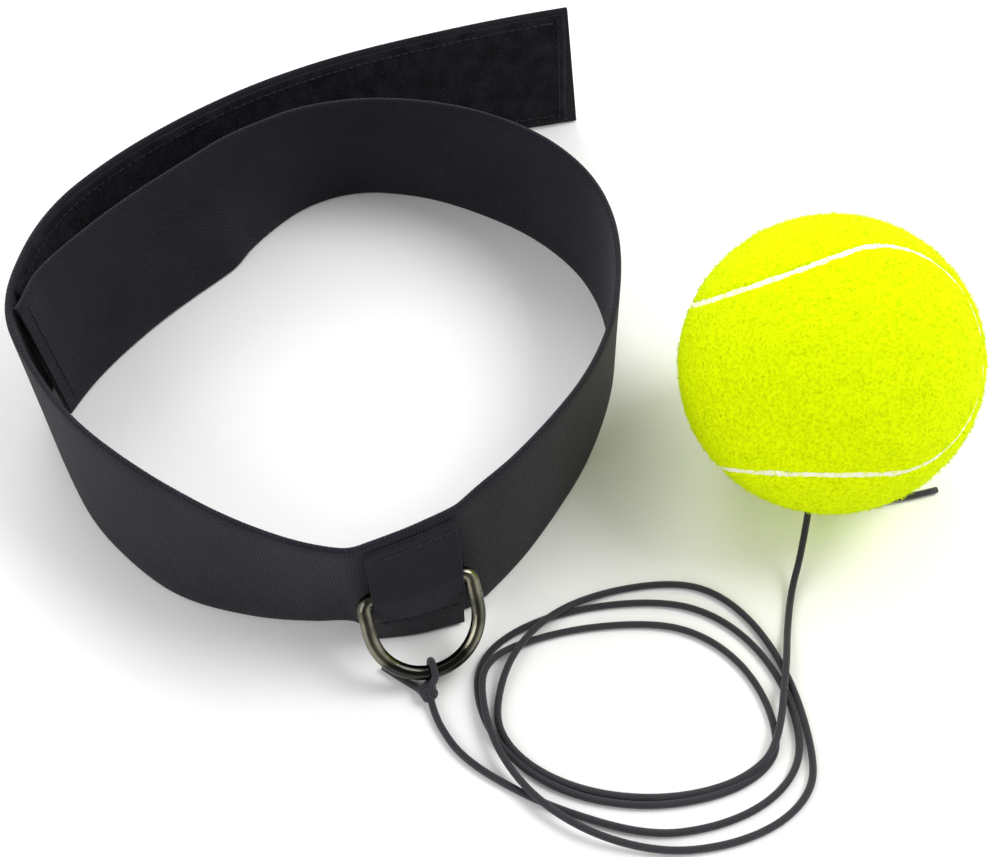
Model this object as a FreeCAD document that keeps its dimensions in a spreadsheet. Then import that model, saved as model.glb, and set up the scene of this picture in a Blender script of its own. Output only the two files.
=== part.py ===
import FreeCAD, Part
import math
import os
import Sketcher
from FreeCAD import Placement, Rotation, Vector

# Reflex ball headband: an elastic strap that closes with hook and loop tape, a D-ring on a
# stitched tab, and a felt ball on a thin elastic cord.
# Frame: millimetres, +Z up, the strap stands on its edge on the plane z = 0 and the ball rests
# on the same plane.  The origin is the middle of the base of the strap, ring and ball.

SIZES = [
    ("strap_width", 35.0),
    ("strap_thick", 1.4),
    ("hook_length", 50.0),
    ("hook_height", 31.0),
    ("hook_thick", 1.2),
    ("loop_panel_length", 180.0),
    ("loop_panel_height", 31.0),
    ("loop_panel_thick", 1.0),
    ("stitch_width", 0.7),
    ("stitch_proud", 0.4),
    ("stitch_margin", 1.2),
    ("end_row_height", 30.0),
    ("tab_length", 19.2),
    ("tab_height", 32.0),
    ("tab_thick", 1.2),
    ("tab_foot", 9.5),
    ("ring_wire", 3.0),
    ("ring_clear_width", 20.0),
    ("ring_depth", 18.4),
    ("ring_corner", 2.1),
    ("ring_lean", 42.0),
    ("running_gap", 0.1),
    ("cord_diameter", 1.5),
    ("ball_diameter", 65.0),
    ("felt_thick", 2.5),
    ("core_wall", 3.3),
    ("seam_width", 1.6),
    ("seam_sunk", 0.6),
    ("cord_hole", 2.0),
]

# The strap's centre line in plan, walked clockwise from its inner end: each entry is the
# length of one tangent arc and the angle through which it turns (plus is to the left).
STRAP_START = Vector(-101.0, -22.0, 0)
STRAP_HEADING = 71.0
STRAP_ARCS = [
    (59.0, -24.0),   # stiff end that carries the hook tape
    (5.0, 6.0),      # soft strap bends back where the tape stops
    (20.0, -9.0),
    (28.0, -44.0),   # bend at the back left
    (94.0, -90.0),   # quarter circle round the back and the right side
    (44.0, -30.0),
    (33.0, -10.0),
    (6.0, -30.0),    # fold beside the tab
    (20.0, 0.0),     # flat length under the tab
    (4.0, -28.0),    # fold on the tab's other side
    (50.0, -26.0),
    (24.0, -22.0),
    (20.0, -6.0),    # nearly straight length where the tail leaves the head loop
    (54.0, -61.0),   # bend at the left
    (60.0, -26.0),   # free tail behind the head loop
    (85.0, -15.0),
]
TAB_STATION = 299.0
HINGE_STATION = 398.0
HINGE_GAP = 0.3
STRAP_END = sum(length for length, turn in STRAP_ARCS)
# Distances from the strap's cut ends to the tapes and to the upright rows of thread, and from
# the end of a tape to the end of its own rows.
TAPE_INSET = 2.0
INNER_ROW_INSET = 3.0
TAIL_ROW_INSET = 4.5
STITCH_INSET = 1.0

TAB_BOTTOM = 0.2

BALL_CENTRE_XY = (74.9, -32.0)
# The seam's own frame is turned half way round an axis that leans from upright toward +X, then
# spun a little round the upright and tilted a little round X.
BALL_AXIS_LEAN = math.radians(43.0)
BALL_SPIN = 12.0
BALL_TILT = -4.0
BALL_TURN = (
    Rotation(Vector(1, 0, 0), BALL_TILT)
    * Rotation(Vector(0, 0, 1), BALL_SPIN)
    * Rotation(Vector(math.sin(BALL_AXIS_LEAN), 0, math.cos(BALL_AXIS_LEAN)), 180.0)
)
# The seam is four arcs of one size: two bulge up from the ball's own equator, two hang down.
SEAM_ARC_LATITUDE = 10.0
UPPER_ARCS = [(45.0, SEAM_ARC_LATITUDE), (225.0, SEAM_ARC_LATITUDE)]
LOWER_ARCS = [(135.0, -SEAM_ARC_LATITUDE), (315.0, -SEAM_ARC_LATITUDE)]
ENTRY_WAY = Vector(-3.5, -24.3, -21.5).normalize()
EXIT_WAY = Vector(11.4, -11.4, -28.3).normalize()

# Routes of the free cord, corner points chosen by hand (z counts from the cord's rest height).
LEAD_ROUTE = [(-9.1, -99.8, 0.0), (-7.5, -104.4, 0.0), (-3.5, -109.4, 0.0), (3.7, -114.4, 0.0)]
BALL_ROUTE = [(64.2, -88.6, 0.9), (65.6, -80.2, 0.0), (67.8, -69.8, 0.0), (70.1, -63.1, 4.3)]
BALL_TAIL_ROUTE = [(89.2, -47.0, 0.0), (105.0, -42.0, 0.0)]
KNOT_TAIL_ROUTE = [(-11.3, -95.1, 0.2), (-15.5, -92.9, 0.0), (-19.9, -89.9, 0.0)]
KNOT_ENDS = [(-10.35, -95.3), (-10.0, -96.2)]
KNOT_RADIUS = 1.6
LOOP_FROM_APEX = 4.0    # degrees round the ring's bow, from its middle
TOUCH_GAP = 0.05

CORD_LIFT = 0.02
ENTRY_GAP = 0.15        # between the lead's end and the ball
EXIT_STRAIGHT = 1.5     # straight length of cord outside the ball before it bends
INNER_SLACK = 6.0       # between the cord's bends inside the ball and the core's wall

COIL_MIDDLE = (33.3, -99.2)
COIL_OUTER = (35.0, 30.3)
COIL_INNER = (27.8, 18.6)
COIL_LAYERS = 2

doc = FreeCAD.newDocument("ReflexBallHeadband")
sheet = doc.addObject("Spreadsheet::Sheet", "Sizes")
for row, (alias, value) in enumerate(SIZES, start=1):
    sheet.set(f"A{row}", alias)
    sheet.set(f"B{row}", str(value))
    sheet.setAlias(f"B{row}", alias)
doc.recompute()


def size(alias):
    return float(getattr(sheet, alias))


def heading_vector(degrees):
    angle = math.radians(degrees)
    return Vector(math.cos(angle), math.sin(angle), 0)


def left_of(degrees):
    return heading_vector(degrees + 90)


# ---------------------------------------------------------------- strap centre line

def advance(point, heading, length, turn):
    """Point and heading after one tangent arc of the centre line."""
    if abs(turn) < 1e-9:
        return point + heading_vector(heading) * length, heading
    radius = length / math.radians(turn)
    centre = point + left_of(heading) * radius
    return centre - left_of(heading + turn) * radius, heading + turn


def strap_pieces(first, last):
    """The centre line's arcs between two stations: (point, heading, length, turn) each."""
    pieces = []
    point, heading, station = STRAP_START, STRAP_HEADING, 0.0
    for length, turn in STRAP_ARCS:
        begin = max(first, station)
        end = min(last, station + length)
        if end - begin > 1e-6:
            lead_in = (begin - station) / length
            share = (end - begin) / length
            start, start_heading = advance(point, heading, length * lead_in, turn * lead_in)
            pieces.append((start, start_heading, length * share, turn * share))
        point, heading = advance(point, heading, length, turn)
        station += length
    return pieces


def strap_at(station):
    """Point and heading of the centre line at a station."""
    point, heading, length, turn = strap_pieces(0.0, station)[-1]
    return advance(point, heading, length, turn)


def offset_edge(piece, offset):
    """One arc (or line) of the centre line moved sideways, plus to the outside."""
    point, heading, length, turn = piece
    end, end_heading = advance(point, heading, length, turn)
    start = point + left_of(heading) * offset
    finish = end + left_of(end_heading) * offset
    if abs(turn) < 1e-9:
        return start, finish, Part.LineSegment(start, finish)
    middle, middle_heading = advance(point, heading, length / 2, turn / 2)
    through = middle + left_of(middle_heading) * offset
    return start, finish, Part.Arc(start, through, finish)


def strap_outline(first, last, inside, outside, round_start=False):
    """Closed plan outline of a layer between two stations and two sideways offsets."""
    pieces = strap_pieces(first, last)
    near = [offset_edge(piece, inside) for piece in pieces]
    far = [offset_edge(piece, outside) for piece in pieces]
    outline = [edge for start, finish, edge in near + far]
    if round_start:
        point, heading = pieces[0][:2]
        nose = point - heading_vector(heading) * ((outside - inside) / 2)
        outline.append(Part.Arc(near[0][0], nose, far[0][0]))
    else:
        outline.append(Part.LineSegment(near[0][0], far[0][0]))
    outline.append(Part.LineSegment(near[-1][1], far[-1][1]))
    return outline


# ---------------------------------------------------------------- building blocks

def new_body(label):
    body = doc.addObject("PartDesign::Body", label)
    body.Label = label
    return body


def origin_plane(body, role):
    return next(item for item in body.Origin.OriginFeatures if item.Role == role)


def new_sketch(body, name, role, lift=0.0):
    sketch = body.newObject("Sketcher::SketchObject", name)
    sketch.AttachmentSupport = [(origin_plane(body, role), "")]
    sketch.MapMode = "FlatFace"
    sketch.AttachmentOffset = Placement(Vector(0, 0, lift), Rotation())
    return sketch


def new_pad(body, sketch, length_expression, midplane=False):
    pad = body.newObject("PartDesign::Pad", body.Name + "_pad")
    pad.Profile = sketch
    pad.Midplane = midplane
    pad.setExpression("Length", length_expression)
    sketch.Visibility = False
    return pad


def repeat_upward(body, feature, spacing_expression, count):
    """Repeat a feature along the body's Z axis."""
    doc.recompute()
    pattern = body.newObject("PartDesign::LinearPattern", body.Name + "_rows")
    pattern.Originals = [feature]
    pattern.Direction = (origin_plane(body, "Z_Axis"), [""])
    body.Tip = pattern
    pattern.setExpression("Length", spacing_expression)
    pattern.Occurrences = count


def strap_layer(label, first, last, inside, outside, height_expression, lift, round_start=False):
    """A layer of the strap that stands upright on its plan outline."""
    body = new_body(label)
    sketch = new_sketch(body, label + "_plan", "XY_Plane", lift)
    sketch.addGeometry(strap_outline(first, last, inside, outside, round_start), False)
    pad = new_pad(body, sketch, height_expression)
    return body, pad


def stitch_rows(label, first, last, inside, outside, panel_height):
    """Two rows of thread along the upper and lower edges of a panel."""
    lift = (size("strap_width") - size(panel_height)) / 2 + size("stitch_margin")
    body, pad = strap_layer(label, first, last, inside, outside, "Sizes.stitch_width", lift)
    spacing = f"Sizes.{panel_height} - Sizes.stitch_width - 2 * Sizes.stitch_margin"
    repeat_upward(body, pad, spacing, 2)


def straight_lines(corners):
    """Straight edges from corner to corner of a flat outline."""
    points = [Vector(across, up, 0) for across, up in corners]
    return [Part.LineSegment(start, finish) for start, finish in zip(points, points[1:])]


def arc_through(start, middle, finish):
    """Arc of a flat outline through three of its points."""
    return Part.Arc(*[Vector(across, up, 0) for across, up in (start, middle, finish)])


def tube(label, route, diameter):
    """A cord along straight runs joined by tangent arcs, as one closed solid."""
    points = [Vector(*corner) for corner in route]
    edges = []
    radii = []
    last_point = points[0]
    for before, corner, after in zip(points, points[1:], points[2:]):
        arriving = (corner - before).normalize()
        leaving = (after - corner).normalize()
        turn = arriving.getAngle(leaving)
        shorter_run = min((corner - before).Length, (after - corner).Length)
        setback = 0.45 * shorter_run
        radius = setback / math.tan(turn / 2)
        arc_start = corner - arriving * setback
        arc_end = corner + leaving * setback
        bisector = (leaving - arriving).normalize()
        through = corner + bisector * (radius / math.cos(turn / 2) - radius)
        edges.append(Part.LineSegment(last_point, arc_start).toShape())
        edges.append(Part.Arc(arc_start, through, arc_end).toShape())
        radii.append(round(radius, 1))
        last_point = arc_end
    edges.append(Part.LineSegment(last_point, points[-1]).toShape())
    path = Part.Wire(edges)
    section = Part.Wire(Part.Circle(points[0], points[1] - points[0], diameter / 2).toShape())
    solid = path.makePipeShell([section], True, False)
    length_by_volume = solid.Volume / (math.pi * diameter ** 2 / 4)
    print(f"{label}: arc radii {radii} mm, length {path.Length:.1f} mm, by volume {length_by_volume:.1f} mm")
    return solid


def add_shape(label, shape, placement=None):
    """A sub-part given by its shape."""
    feature = doc.addObject("Part::Feature", label)
    feature.Label = label
    feature.Shape = shape
    if placement is not None:
        feature.Placement = placement
    return feature


# ---------------------------------------------------------------- strap and its closure

def make_strap():
    """The strap in two lengths; the tail's round nose turns on the hinge line at the loop's end."""
    half = size("strap_thick") / 2
    loop_end = HINGE_STATION - half - HINGE_GAP
    strap_layer("strap_loop", 0.0, loop_end, -half, half, "Sizes.strap_width", 0.0)
    strap_layer("strap_tail", HINGE_STATION, STRAP_END, -half, half, "Sizes.strap_width", 0.0,
                round_start=True)


def make_hook_tape():
    """Hook tape on the outside of the strap's inner end, with its two rows of stitching."""
    face = size("strap_thick") / 2
    outside = face + size("hook_thick")
    first = TAPE_INSET
    last = first + size("hook_length")
    lift = (size("strap_width") - size("hook_height")) / 2
    strap_layer("hook_tape", first, last, face, outside, "Sizes.hook_height", lift)
    stitch_rows("hook_stitching", first + STITCH_INSET, last - STITCH_INSET, outside,
                outside + size("stitch_proud"), "hook_height")


def make_loop_panel():
    """Soft loop panel on the inside of the tail, with its two rows of stitching."""
    face = -size("strap_thick") / 2
    inside = face - size("loop_panel_thick")
    last = STRAP_END - TAPE_INSET
    first = last - size("loop_panel_length")
    lift = (size("strap_width") - size("loop_panel_height")) / 2
    strap_layer("loop_panel", first, last, inside, face, "Sizes.loop_panel_height", lift)
    stitch_rows("loop_stitching", first + STITCH_INSET, STRAP_END - TAIL_ROW_INSET - STITCH_INSET,
                inside - size("stitch_proud"), inside, "loop_panel_height")


def make_end_stitching():
    """Upright rows of thread that close the strap's two cut ends."""
    row = size("stitch_width")
    proud = size("stitch_proud")
    inner_face = -size("strap_thick") / 2
    tail_face = inner_face - size("loop_panel_thick")
    lift = (size("strap_width") - size("end_row_height")) / 2
    height = "Sizes.end_row_height"
    inner = INNER_ROW_INSET
    strap_layer("inner_end_stitching", inner, inner + row, inner_face - proud, inner_face, height, lift)
    tail = STRAP_END - TAIL_ROW_INSET
    strap_layer("tail_end_stitching", tail, tail + row, tail_face - proud, tail_face, height, lift)


# ---------------------------------------------------------------- ring tab and D-ring

tab_point, tab_heading = strap_at(TAB_STATION)
tab_turn = Rotation(Vector(0, 0, 1), tab_heading)
tab_face = tab_point + left_of(tab_heading) * (size("strap_thick") / 2)
bar_height = size("strap_width") / 2
bar_radius = size("ring_wire") / 2
bar_offset = bar_radius + size("running_gap")
bar_point = tab_face + left_of(tab_heading) * bar_offset + Vector(0, 0, bar_height)
tunnel_radius = bar_offset


def make_tab():
    """Webbing patch stitched to the strap, tented over the straight bar of the D-ring."""
    face = size("tab_thick")
    bottom = TAB_BOTTOM
    top = size("tab_height")
    crown = bar_offset + tunnel_radius + face
    low_foot = bar_height - size("tab_foot")
    high_foot = bar_height + size("tab_foot")
    roof = bar_height + tunnel_radius
    floor = bar_height - tunnel_radius
    body = new_body("ring_tab")
    body.Placement = Placement(tab_face, tab_turn)
    sketch = new_sketch(body, "ring_tab_section", "YZ_Plane")
    sketch.addGeometry(straight_lines([(0, bottom), (face, bottom), (face, low_foot)]))
    sketch.addGeometry(arc_through((face, low_foot), (crown, bar_height), (face, high_foot)))
    sketch.addGeometry(straight_lines(
        [(face, high_foot), (face, top), (0, top), (0, roof), (bar_offset, roof)]
    ))
    sketch.addGeometry(arc_through((bar_offset, roof), (bar_offset + tunnel_radius, bar_height),
                                   (bar_offset, floor)))
    sketch.addGeometry(straight_lines([(bar_offset, floor), (0, floor), (0, bottom)]))
    new_pad(body, sketch, "Sizes.tab_length", midplane=True)


def make_tab_stitching():
    """Thread rows across the tab, below and above the tunnel."""
    face = size("tab_thick")
    proud = face + size("stitch_proud")
    lowest = TAB_BOTTOM + 2 * size("stitch_margin")
    upper_edge = lowest + size("stitch_width")
    body = new_body("tab_stitching")
    body.Placement = Placement(tab_face, tab_turn)
    sketch = new_sketch(body, "tab_stitching_section", "YZ_Plane")
    sketch.addGeometry(straight_lines(
        [(face, lowest), (proud, lowest), (proud, upper_edge), (face, upper_edge), (face, lowest)]
    ))
    pad = new_pad(body, sketch, "Sizes.tab_length - 2 * Sizes.stitch_margin", midplane=True)
    spacing = f"Sizes.tab_height - Sizes.stitch_width - 4 * Sizes.stitch_margin - {TAB_BOTTOM}"
    repeat_upward(body, pad, spacing, 2)


def make_d_ring():
    """Round wire bent to a D, its bar on the body's X axis and its bow below."""
    half_width = (size("ring_clear_width") + size("ring_wire")) / 2
    straight = size("ring_depth") - half_width
    corner = size("ring_corner")
    slant = corner * (1 - math.sqrt(0.5))
    body = new_body("d_ring")
    path = new_sketch(body, "d_ring_path", "XZ_Plane")
    left, right = -half_width, half_width
    path.addGeometry(Part.LineSegment(Vector(left + corner, 0, 0), Vector(right - corner, 0, 0)))
    path.addGeometry(Part.Arc(Vector(right - corner, 0, 0), Vector(right - slant, -slant, 0),
                              Vector(right, -corner, 0)))
    path.addGeometry(Part.LineSegment(Vector(right, -corner, 0), Vector(right, -straight, 0)))
    path.addGeometry(Part.Arc(Vector(right, -straight, 0), Vector(0, -size("ring_depth"), 0),
                              Vector(left, -straight, 0)))
    path.addGeometry(Part.LineSegment(Vector(left, -straight, 0), Vector(left, -corner, 0)))
    path.addGeometry(Part.Arc(Vector(left, -corner, 0), Vector(left + slant, -slant, 0),
                              Vector(left + corner, 0, 0)))
    section = new_sketch(body, "d_ring_wire", "YZ_Plane")
    wire = section.addGeometry(Part.Circle(Vector(0, 0, 0), Vector(0, 0, 1), bar_radius))
    radius = section.addConstraint(Sketcher.Constraint("Radius", wire, bar_radius))
    section.setExpression(f"Constraints[{radius}]", "Sizes.ring_wire / 2")
    pipe = body.newObject("PartDesign::AdditivePipe", "d_ring_pipe")
    pipe.Profile = section
    pipe.Spine = path
    lean = Rotation(Vector(1, 0, 0), size("ring_lean"))
    body.Placement = Placement(bar_point, tab_turn.multiply(lean))
    return body.Placement


def make_ring_knot(ring_placement):
    """Cord looped over the bow of the ring, and the knot beside it that holds the loop."""
    cord = size("cord_diameter")
    bow_radius = (size("ring_clear_width") + size("ring_wire")) / 2
    around = math.radians(LOOP_FROM_APEX)
    outward = Vector(math.sin(around), 0, -math.cos(around))
    along = Vector(math.cos(around), 0, math.sin(around))
    wire_point = Vector(0, 0, bow_radius - size("ring_depth")) + outward * bow_radius
    loop_radius = bar_radius + cord / 2 + TOUCH_GAP
    loop = Part.makeTorus(loop_radius, cord / 2, ring_placement.multVec(wire_point),
                          ring_placement.Rotation.multVec(along))
    near, far = [Vector(x, y, KNOT_RADIUS + TOUCH_GAP) for x, y in KNOT_ENDS]
    knot = Part.makeCylinder(KNOT_RADIUS, (far - near).Length, near, far - near)
    knot = knot.fuse([Part.makeSphere(KNOT_RADIUS, near), Part.makeSphere(KNOT_RADIUS, far)])
    add_shape("ring_knot", loop.fuse(knot).removeSplitter())


def make_knot_tail():
    cord = size("cord_diameter")
    add_shape("knot_tail", tube("knot_tail", at_rest_height(KNOT_TAIL_ROUTE), cord))


# ---------------------------------------------------------------- cord

def at_rest_height(route):
    """Route with its heights counted from where the cord's middle lies on the ground."""
    rest = size("cord_diameter") / 2 + CORD_LIFT
    return [(x, y, z + rest) for x, y, z in route]


def make_cord():
    cord = size("cord_diameter")
    add_shape("cord_lead", tube("cord_lead", at_rest_height(LEAD_ROUTE), cord))
    entry = ball_centre + ENTRY_WAY * (ball_radius + ENTRY_GAP)
    route = at_rest_height(BALL_ROUTE) + [tuple(entry)]
    add_shape("ball_lead", tube("ball_lead", route, cord))


def make_coil():
    """Outer shape of the loose coil of cord: a flat ring between two ovals."""
    body = new_body("cord_coil")
    sketch = new_sketch(body, "cord_coil_plan", "XY_Plane")
    middle = Vector(*COIL_MIDDLE, 0)
    for half_length, half_width in (COIL_OUTER, COIL_INNER):
        sketch.addGeometry(Part.Ellipse(middle, half_length, half_width))
    new_pad(body, sketch, f"Sizes.cord_diameter * {COIL_LAYERS}")


# ---------------------------------------------------------------- ball

ball_radius = size("ball_diameter") / 2
core_radius = ball_radius - size("felt_thick")
ball_centre = Vector(*BALL_CENTRE_XY, ball_radius)
ball_placement = Placement(ball_centre, BALL_TURN)
entry_local = BALL_TURN.inverted().multVec(ENTRY_WAY)
exit_local = BALL_TURN.inverted().multVec(EXIT_WAY)


def cord_holes():
    """Two radial drills for the cord, in the ball's own frame."""
    radius = size("cord_hole") / 2
    drills = [
        Part.makeCylinder(radius, ball_radius + 2, Vector(0, 0, 0), way)
        for way in (entry_local, exit_local)
    ]
    return drills[0].fuse(drills[1])


def seam_cone(longitude, latitude, widen):
    """Cone from the ball's middle whose edge runs along one seam arc, widened by some degrees."""
    across = math.radians(longitude)
    up = math.radians(latitude)
    way = Vector(math.cos(across) * math.cos(up), math.sin(across) * math.cos(up), math.sin(up))
    half_angle = math.acos(math.sqrt(0.5) * math.cos(up)) + math.radians(widen)
    height = ball_radius * 1.25
    return Part.makeCone(0, height * math.tan(half_angle), height, Vector(0, 0, 0), way)


def half_skin(low, high):
    """Half of the felt layer, cut at the equator of the ball's own frame."""
    outside = Part.makeSphere(ball_radius, Vector(0, 0, 0), Vector(0, 0, 1), low, high, 360)
    return outside.cut(Part.makeSphere(core_radius))


def felt_panel(own_half, other_half, own_arcs, other_arcs):
    """One felt panel: its own half less two bulges, and two lobes on the other half."""
    gap = math.degrees(size("seam_width") / 2 / ball_radius)
    waist = own_half.cut([seam_cone(*arc, gap) for arc in own_arcs])
    lobes = [other_half.common(seam_cone(*arc, -gap)) for arc in other_arcs]
    return waist.fuse(lobes).removeSplitter()


def make_core():
    """Two moulded rubber cups that meet on a plane; the cord's holes are in the lower cup."""
    pole = (entry_local + exit_local).normalize()
    turned = Placement(Vector(0, 0, 0), Rotation(Vector(0, 0, -1), pole))
    holes = doc.addObject("Part::Feature", "core_drills")
    holes.Shape = cord_holes()
    for label, low, high in (("core_cup_lower", -90, 0), ("core_cup_upper", 0, 90)):
        outside = doc.addObject("Part::Sphere", label + "_outside")
        outside.setExpression("Radius", "Sizes.ball_diameter / 2 - Sizes.felt_thick")
        outside.Angle1 = low
        outside.Angle2 = high
        inside = doc.addObject("Part::Sphere", label + "_inside")
        inside.setExpression("Radius", "Sizes.ball_diameter / 2 - Sizes.felt_thick - Sizes.core_wall")
        outside.Placement = turned
        cup = doc.addObject("Part::Cut", label + "_cup")
        cup.Base = outside
        cup.Tool = inside
        drilled = doc.addObject("Part::Cut", label)
        drilled.Label = label
        drilled.Base = cup
        drilled.Tool = holes
        drilled.Placement = ball_placement


def make_felt():
    """Two felt panels and the glued seam between them."""
    upper = half_skin(0, 90)
    lower = half_skin(-90, 0)
    panel_a = felt_panel(upper, lower, UPPER_ARCS, LOWER_ARCS)
    panel_b = felt_panel(lower, upper, LOWER_ARCS, UPPER_ARCS)
    bead = Part.makeSphere(ball_radius - size("seam_sunk")).cut(Part.makeSphere(core_radius))
    bead = bead.cut([panel_a, panel_b])
    holes = cord_holes()
    for label, shape in (("felt_panel_a", panel_a), ("felt_panel_b", panel_b), ("felt_seam", bead)):
        add_shape(label, shape.cut(holes), ball_placement)


def make_ball_cord():
    """Cord through the ball: in by one hole, across the hollow, out by the other to its cut end."""
    turn_radius = core_radius - size("core_wall") - INNER_SLACK
    route = [
        ball_centre + ENTRY_WAY * ball_radius,
        ball_centre + ENTRY_WAY * turn_radius,
        ball_centre + EXIT_WAY * turn_radius,
        ball_centre + EXIT_WAY * (ball_radius + EXIT_STRAIGHT),
    ]
    route = [tuple(point) for point in route] + at_rest_height(BALL_TAIL_ROUTE)
    add_shape("ball_cord", tube("ball_cord", route, size("cord_diameter")))


make_strap()
make_hook_tape()
make_loop_panel()
make_end_stitching()
make_tab()
make_tab_stitching()
make_ring_knot(make_d_ring())
make_knot_tail()
make_cord()
make_coil()
make_core()
make_felt()
make_ball_cord()
doc.recompute()

NODES = [
    "strap_loop", "strap_tail", "hook_tape", "hook_stitching", "loop_panel", "loop_stitching",
    "inner_end_stitching", "tail_end_stitching", "ring_tab", "tab_stitching", "d_ring",
    "ring_knot", "knot_tail", "cord_lead", "cord_coil", "ball_lead", "core_cup_lower",
    "core_cup_upper", "felt_panel_a", "felt_panel_b", "felt_seam", "ball_cord",
]
for item in doc.Objects:
    if "Invalid" in item.State or "Error" in item.State:
        raise RuntimeError(f"{item.Label} did not build: {item.State}")
os.makedirs("parts", exist_ok=True)
for label in NODES:
    part = doc.getObjectsByLabel(label)[0]
    if part.Shape.isNull() or not part.Shape.isValid():
        raise RuntimeError(f"{label} has no valid shape")
    print(f"{label}: {len(part.Shape.Solids)} solids, {part.Shape.Volume:.0f} mm3")
    part.Shape.exportStep(os.path.join("parts", label + ".step"))
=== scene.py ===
import math
import random

import bmesh
import bpy
from mathutils import Matrix, Vector, noise


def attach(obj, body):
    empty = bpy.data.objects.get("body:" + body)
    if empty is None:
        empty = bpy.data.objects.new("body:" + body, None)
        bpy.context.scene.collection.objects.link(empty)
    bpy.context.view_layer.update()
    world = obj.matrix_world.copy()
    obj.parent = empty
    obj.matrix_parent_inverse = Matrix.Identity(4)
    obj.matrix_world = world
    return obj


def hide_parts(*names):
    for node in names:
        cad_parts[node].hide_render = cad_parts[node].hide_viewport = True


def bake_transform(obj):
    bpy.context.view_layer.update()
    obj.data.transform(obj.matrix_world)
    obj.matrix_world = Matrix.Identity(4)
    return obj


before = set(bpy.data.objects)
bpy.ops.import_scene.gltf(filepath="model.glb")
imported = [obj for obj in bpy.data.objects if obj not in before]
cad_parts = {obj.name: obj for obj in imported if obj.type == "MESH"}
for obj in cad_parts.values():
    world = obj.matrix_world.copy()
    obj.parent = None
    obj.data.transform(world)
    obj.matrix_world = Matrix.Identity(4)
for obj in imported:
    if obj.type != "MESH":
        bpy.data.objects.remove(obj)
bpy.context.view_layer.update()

# Reflex ball headband: woven elastic strap with hook and loop closure, D-ring on a stitched
# tab, felt ball and thin elastic cord.  Metres, +Z up, the same frame as the CAD.

UP = Vector((0.0, 0.0, 1.0))

# ---------------------------------------------------------------- sizes and places

STRAP_WIDTH = 0.035
STRAP_THICK = 0.0014
STRAP_START = Vector((-0.1010, -0.0220, 0.0))
STRAP_HEADING = 71.0
# Tangent arcs of the strap's centre line, walked clockwise: (length, turn in degrees).
STRAP_ARCS = [
    (0.059, -24.0),
    (0.005, 6.0),
    (0.020, -9.0),
    (0.028, -44.0),
    (0.094, -90.0),
    (0.044, -30.0),
    (0.033, -10.0),
    (0.006, -30.0),
    (0.020, 0.0),
    (0.004, -28.0),
    (0.050, -26.0),
    (0.024, -22.0),
    (0.020, -6.0),
    (0.054, -61.0),
    (0.060, -26.0),
    (0.085, -15.0),
]
STRAP_END = sum(length for length, turn in STRAP_ARCS)
TAB_STATION = 0.299
HINGE_STATION = 0.398
BRIDGE_HALF = 0.009

# Where the strap's top and bottom edges run outside its centre line: (station, top, bottom).
# The soft strap leans and twists a little as it stands.
STRAP_EDGES = [
    (0.000, 0.0032, -0.0014),
    (0.012, 0.0058, -0.0015),
    (0.030, 0.0051, -0.0025),
    (0.050, 0.0043, -0.0035),
    (0.061, 0.0042, -0.0033),
    (0.070, 0.0030, -0.0012),
    (0.085, 0.0000, 0.0009),
    (0.102, -0.0021, 0.0019),
    (0.120, -0.0020, 0.0009),
    (0.141, -0.0006, -0.0003),
    (0.160, 0.0010, 0.0005),
    (0.178, 0.0013, 0.0014),
    (0.205, -0.0003, 0.0008),
    (0.230, -0.0006, -0.0005),
    (0.250, -0.0013, -0.0004),
    (0.270, -0.0023, 0.0004),
    (0.284, -0.0033, 0.0003),
    (0.292, -0.0016, 0.0002),
    (0.300, -0.0002, -0.0004),
    (0.308, 0.0006, -0.0022),
    (0.314, 0.0010, -0.0040),
    (0.322, 0.0009, -0.0024),
    (0.335, -0.0003, 0.0003),
    (0.352, -0.0020, 0.0027),
    (0.370, -0.0025, 0.0016),
    (0.395, -0.0003, 0.0006),
    (0.417, 0.0013, 0.0004),
    (0.437, 0.0001, 0.0000),
    (0.470, 0.0003, 0.0000),
    (0.500, 0.0005, -0.0005),
    (0.535, 0.0018, -0.0020),
    (0.570, 0.0012, -0.0035),
    (0.606, 0.0015, -0.0054),
]

CORD_RADIUS = 0.00075
# Height of the resting cord's middle, and how much higher it runs over another turn.
CORD_REST = 0.00077
HUMP = 0.00175

BALL_CENTRE = Vector((0.0749, -0.0320, 0.0325))
BALL_RADIUS = 0.0325
BALL_AXIS_LEAN = math.radians(43.0)
BALL_AXIS = Vector((math.sin(BALL_AXIS_LEAN), 0.0, math.cos(BALL_AXIS_LEAN)))
BALL_TURN = (
    Matrix.Rotation(math.radians(-4.0), 3, "X")
    @ Matrix.Rotation(math.radians(12.0), 3, "Z")
    @ Matrix.Rotation(math.pi, 3, BALL_AXIS)
)
ENTRY_WAY = Vector((-3.5, -24.3, -21.5)).normalized()
EXIT_WAY = Vector((11.4, -11.4, -28.3)).normalized()
SEAM_ARC_LATITUDE = 10.0
UPPER_ARCS = (45.0, 225.0)
LOWER_ARCS = (135.0, 315.0)
LOCAL_ENTRY = BALL_TURN.transposed() @ ENTRY_WAY
LOCAL_EXIT = BALL_TURN.transposed() @ EXIT_WAY

TAB_HEADING = -160.0
# The ring's bow, measured to the middle of its wire, and the wire's radius.
RING_WIDTH = 0.023
RING_DEPTH = 0.0184
RING_WIRE = 0.0015
RING_TURN = Matrix.Rotation(math.radians(TAB_HEADING), 3, "Z") @ Matrix.Rotation(math.radians(42.0), 3, "X")
BAR_OFFSET = STRAP_THICK / 2 + RING_WIRE + 0.0001
BAR_HEIGHT = STRAP_WIDTH / 2
LOOP_FROM_APEX = math.radians(4.0)


# ---------------------------------------------------------------- camera, floor and light

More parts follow.
